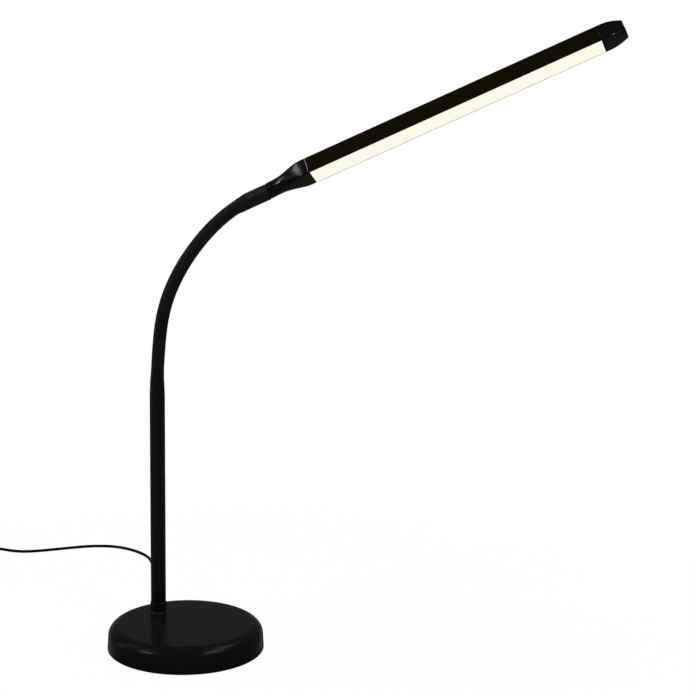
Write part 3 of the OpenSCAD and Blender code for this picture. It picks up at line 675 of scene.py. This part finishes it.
def makeAdaptor(c):
    foot, top = adaptorAt, barAt
    length = top - foot
    sides = 4 * (c["cornerSteps"] + 1)
    roundAt, squareAt = foot + c["roundTo"] * length, foot + c["squareFrom"] * length

    def riseOf(z):
        u = ((z - foot) / length - c["riseFrom"]) / (c["riseTo"] - c["riseFrom"])
        return between(c["footRise"], head["rise"], smooth(u)) * mm

    def heightOf(share):
        # where the form is this much square: the smooth step the other way round
        u = 0.5 - math.sin(math.asin(1 - 2 * share) / 3)
        return between(roundAt, squareAt, u)

    startFresh()
    bpy.ops.mesh.primitive_circle_add(vertices=sides, radius=c["footR"] * mm,
                                      location=(-riseOf(foot), 0, foot), rotation=(0, 0, math.pi / sides))
    neck = bpy.context.object
    bpy.ops.object.transform_apply(location=True, rotation=True, scale=True)
    editAll()
    z = foot
    for i in range(1, c["neckSteps"] + 1):
        nextZ = foot + (roundAt - foot) * i / c["neckSteps"]
        step = (riseOf(z) - riseOf(nextZ), 0, nextZ - z)
        bpy.ops.mesh.extrude_edges_move(TRANSFORM_OT_translate={"value": step})
        z = nextZ
    bpy.ops.object.mode_set(mode="OBJECT")
    end = barOutline(top, c["cornerSteps"])
    editAll()
    bpy.ops.mesh.extrude_edges_move(TRANSFORM_OT_translate={"value": (0, 0, squareAt - top)})
    bpy.ops.object.mode_set(mode="OBJECT")
    piece = joinOutlines([neck, end])
    loft(piece, roundAt, squareAt, c["cuts"], heightOf, riseOf)
    closeEnds(piece, (foot, top), c["rim"], c["rimSteps"])
    drillScrewHole(piece, c)
    bpy.ops.object.shade_smooth_by_angle(angle=math.radians(shop["smoothAngle"]))
    settle(piece, "headAdaptor", glossMoulding, "head", headFrame)
    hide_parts("head_adaptor")


makeAdaptor(adaptor)

endCap = {
    "length": 23.5, "straight": 0.22, "drawSide": 4.4, "drawTop": 1.8, "drawLow": 0.8, "drawPower": 1.8,
    "tipR": 3.2, "cornerSteps": 8, "cuts": 14, "rim": 0.6, "rimSteps": 3,
}


def makeEndCap(c):
    start, tip = capAt + c["straight"] * c["length"] * mm, capAt + c["length"] * mm
    rise = head["rise"] * mm
    tipRise = rise - (c["drawTop"] - c["drawLow"]) / 2 * mm
    tipHigh = head["barH"] - c["drawTop"] - c["drawLow"]
    tipWide = head["barW"] - 2 * c["drawSide"]

    def riseOf(z):
        u = max(0.0, (z - start) / (tip - start))
        return between(rise, tipRise, u ** c["drawPower"])

    def heightOf(share):
        return between(start, tip, share ** (1 / c["drawPower"]))

    startFresh()
    root = barOutline(capAt, c["cornerSteps"])
    editAll()
    bpy.ops.mesh.extrude_edges_move(TRANSFORM_OT_translate={"value": (0, 0, start - capAt)})
    bpy.ops.object.mode_set(mode="OBJECT")
    end = roundedOutline(tipHigh * mm, tipWide * mm, c["tipR"] * mm, c["cornerSteps"], tip, tipRise)
    piece = joinOutlines([root, end])
    loft(piece, start, tip, c["cuts"], heightOf, riseOf)
    closeEnds(piece, (capAt, tip), c["rim"], c["rimSteps"])
    bpy.ops.object.shade_smooth_by_angle(angle=math.radians(shop["smoothAngle"]))
    settle(piece, "endCap", glossMoulding, "head", headFrame)
    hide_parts("end_cap")


makeEndCap(endCap)
print("adaptor and end cap")

# floor and backdrop: white to what looks at them, while near the lamp the floor keeps a faint shadow


def seenRays(tree):
    # rays from the camera and through glass, and rays in reflections
    rays = tree.nodes.new("ShaderNodeLightPath").outputs
    direct = mathNode(tree, "MAXIMUM", rays["Is Camera Ray"], rays["Is Transmission Ray"])
    return direct, rays["Is Glossy Ray"]


def shareShaders(tree, factor, first, second, out):
    share = tree.nodes.new("ShaderNodeMixShader")
    tree.links.new(factor, share.inputs["Fac"])
    tree.links.new(first.outputs[0], share.inputs[1])
    tree.links.new(second.outputs[0], share.inputs[2])
    tree.links.new(share.outputs[0], out.inputs["Surface"])


floor = {"half": 6.0, "color": 0.9, "glowNear": 0.93, "fadeFrom": 0.3, "fadeTo": 0.8}


def makeFloor(c):
    startFresh()
    bpy.ops.mesh.primitive_plane_add(size=2 * c["half"], location=(0, 0, 0))
    plane = bpy.context.object
    plane.name = "floor"
    material = bpy.data.materials.new("paleFloor")
    material.use_nodes = True
    tree = material.node_tree
    tree.nodes.clear()
    out = tree.nodes.new("ShaderNodeOutputMaterial")
    diffuse = tree.nodes.new("ShaderNodeBsdfDiffuse")
    diffuse.inputs["Color"].default_value = (c["color"], c["color"], c["color"], 1)
    glow = tree.nodes.new("ShaderNodeEmission")
    glow.inputs["Strength"].default_value = 1.0
    seen, mirrored = seenRays(tree)
    length = tree.nodes.new("ShaderNodeVectorMath")
    length.operation = "LENGTH"
    tree.links.new(tree.nodes.new("ShaderNodeTexCoord").outputs["Object"], length.inputs[0])
    far = smoothRange(tree, length.outputs["Value"], c["fadeFrom"], c["fadeTo"])
    shaded = mathNode(tree, "MULTIPLY", mathNode(tree, "SUBTRACT", 1.0, far), 1 - c["glowNear"])
    glowing = mathNode(tree, "SUBTRACT", 1.0, shaded)
    factor = mathNode(tree, "MULTIPLY", mathNode(tree, "MAXIMUM", seen, mirrored), glowing)
    shareShaders(tree, factor, diffuse, glow, out)
    plane.data.materials.append(material)


makeFloor(floor)

air = {"light": 0.3, "behindFrom": 0.1, "behindTo": 0.6}


def makeAir(c):
    world = bpy.data.worlds.new("studioAir")
    bpy.context.scene.world = world
    world.use_nodes = True
    tree = world.node_tree
    tree.nodes.clear()
    out = tree.nodes.new("ShaderNodeOutputWorld")
    soft = tree.nodes.new("ShaderNodeBackground")
    soft.inputs["Color"].default_value = (1, 1, 1, 1)
    soft.inputs["Strength"].default_value = c["light"]
    white = tree.nodes.new("ShaderNodeBackground")
    white.inputs["Color"].default_value = (1, 1, 1, 1)
    white.inputs["Strength"].default_value = 1.0
    seen, mirrored = seenRays(tree)
    split = tree.nodes.new("ShaderNodeSeparateXYZ")
    tree.links.new(tree.nodes.new("ShaderNodeTexCoord").outputs["Generated"], split.inputs[0])
    # reflections see the backdrop only behind the lamp
    behind = smoothRange(tree, split.outputs["Y"], c["behindFrom"], c["behindTo"])
    factor = mathNode(tree, "MAXIMUM", seen, mathNode(tree, "MULTIPLY", mirrored, behind))
    shareShaders(tree, factor, soft, white, out)


makeAir(air)

# lights, in metres and watts: lamps light the object, cards only show in it as highlights

lamps = {
    "overhead": {"place": (0.1, 0.2, 2.3), "target": (0.05, 0.0, 0.1),
                 "wide": 1.3, "high": 1.1, "power": 30, "glossy": False},
    "keyLeft": {"place": (-1.1, -0.75, 1.25), "target": (0.0, 0.0, 0.25),
                "wide": 0.5, "high": 0.5, "power": 6},
    "fillRight": {"place": (0.95, -1.0, 1.2), "target": (0.0, 0.0, 0.25),
                  "wide": 0.5, "high": 0.5, "power": 4},
}
cards = {
    "stripLeft": {"place": (-1.35, 0.12, 0.75), "target": (0.0, 0.0, 0.45),
                  "wide": 0.2, "high": 1.5, "power": 26},
    "stripRight": {"place": (1.35, -0.28, 0.75), "target": (0.0, 0.0, 0.45),
                   "wide": 0.14, "high": 1.5, "power": 0.5},
    "boxHigh": {"place": (-0.99, -0.41, 1.55), "target": (0.1, 0.02, 0.46),
                "wide": 0.3, "high": 0.2, "power": 15},
    "boxFront": {"place": (-0.77, -0.9, 1.24), "target": (0.08, 0.02, 0.45),
                 "wide": 0.17, "high": 0.17, "power": 0.6, "spread": 20},
    "boxTip": {"place": (0.9, -1.5, 1.31), "target": (0.384, 0.013, 0.589),
               "wide": 0.55, "high": 0.2, "power": 2, "spread": 20},
    "boxSeam": {"place": (0.92, 0.37, 1.8), "target": (0.11, 0.02, 0.465),
                "wide": 0.35, "high": 0.35, "power": 2, "spread": 18},
    "boxLeft": {"place": (-1.18, -0.81, 0.87), "target": (-0.04, -0.07, 0.02),
                "wide": 0.4, "high": 0.4, "power": 2.5, "spread": 20},
    "boxRight": {"place": (0.98, -0.52, 1.22), "target": (0.04, -0.07, 0.02),
                 "wide": 0.4, "high": 0.4, "power": 2.5, "spread": 20},
}


def hangLight(name, place, target, wide, high, power, spread=180, glossy=True, diffuse=True):
    # spread in degrees: a narrow one keeps the light off the other parts
    startFresh()
    bpy.ops.object.light_add(type="AREA", location=place)
    light = bpy.context.object
    light.name = name
    light.data.shape = "RECTANGLE"
    light.data.size, light.data.size_y = wide, high
    light.data.energy = power
    light.data.spread = math.radians(spread)
    light.rotation_euler = (Vector(target) - Vector(place)).to_track_quat("-Z", "Y").to_euler()
    light.visible_glossy = glossy
    light.visible_diffuse = diffuse


for name, values in lamps.items():
    hangLight(name, **values)
for name, values in cards.items():
    hangLight(name, diffuse=False, **values)
print("floor and lights")
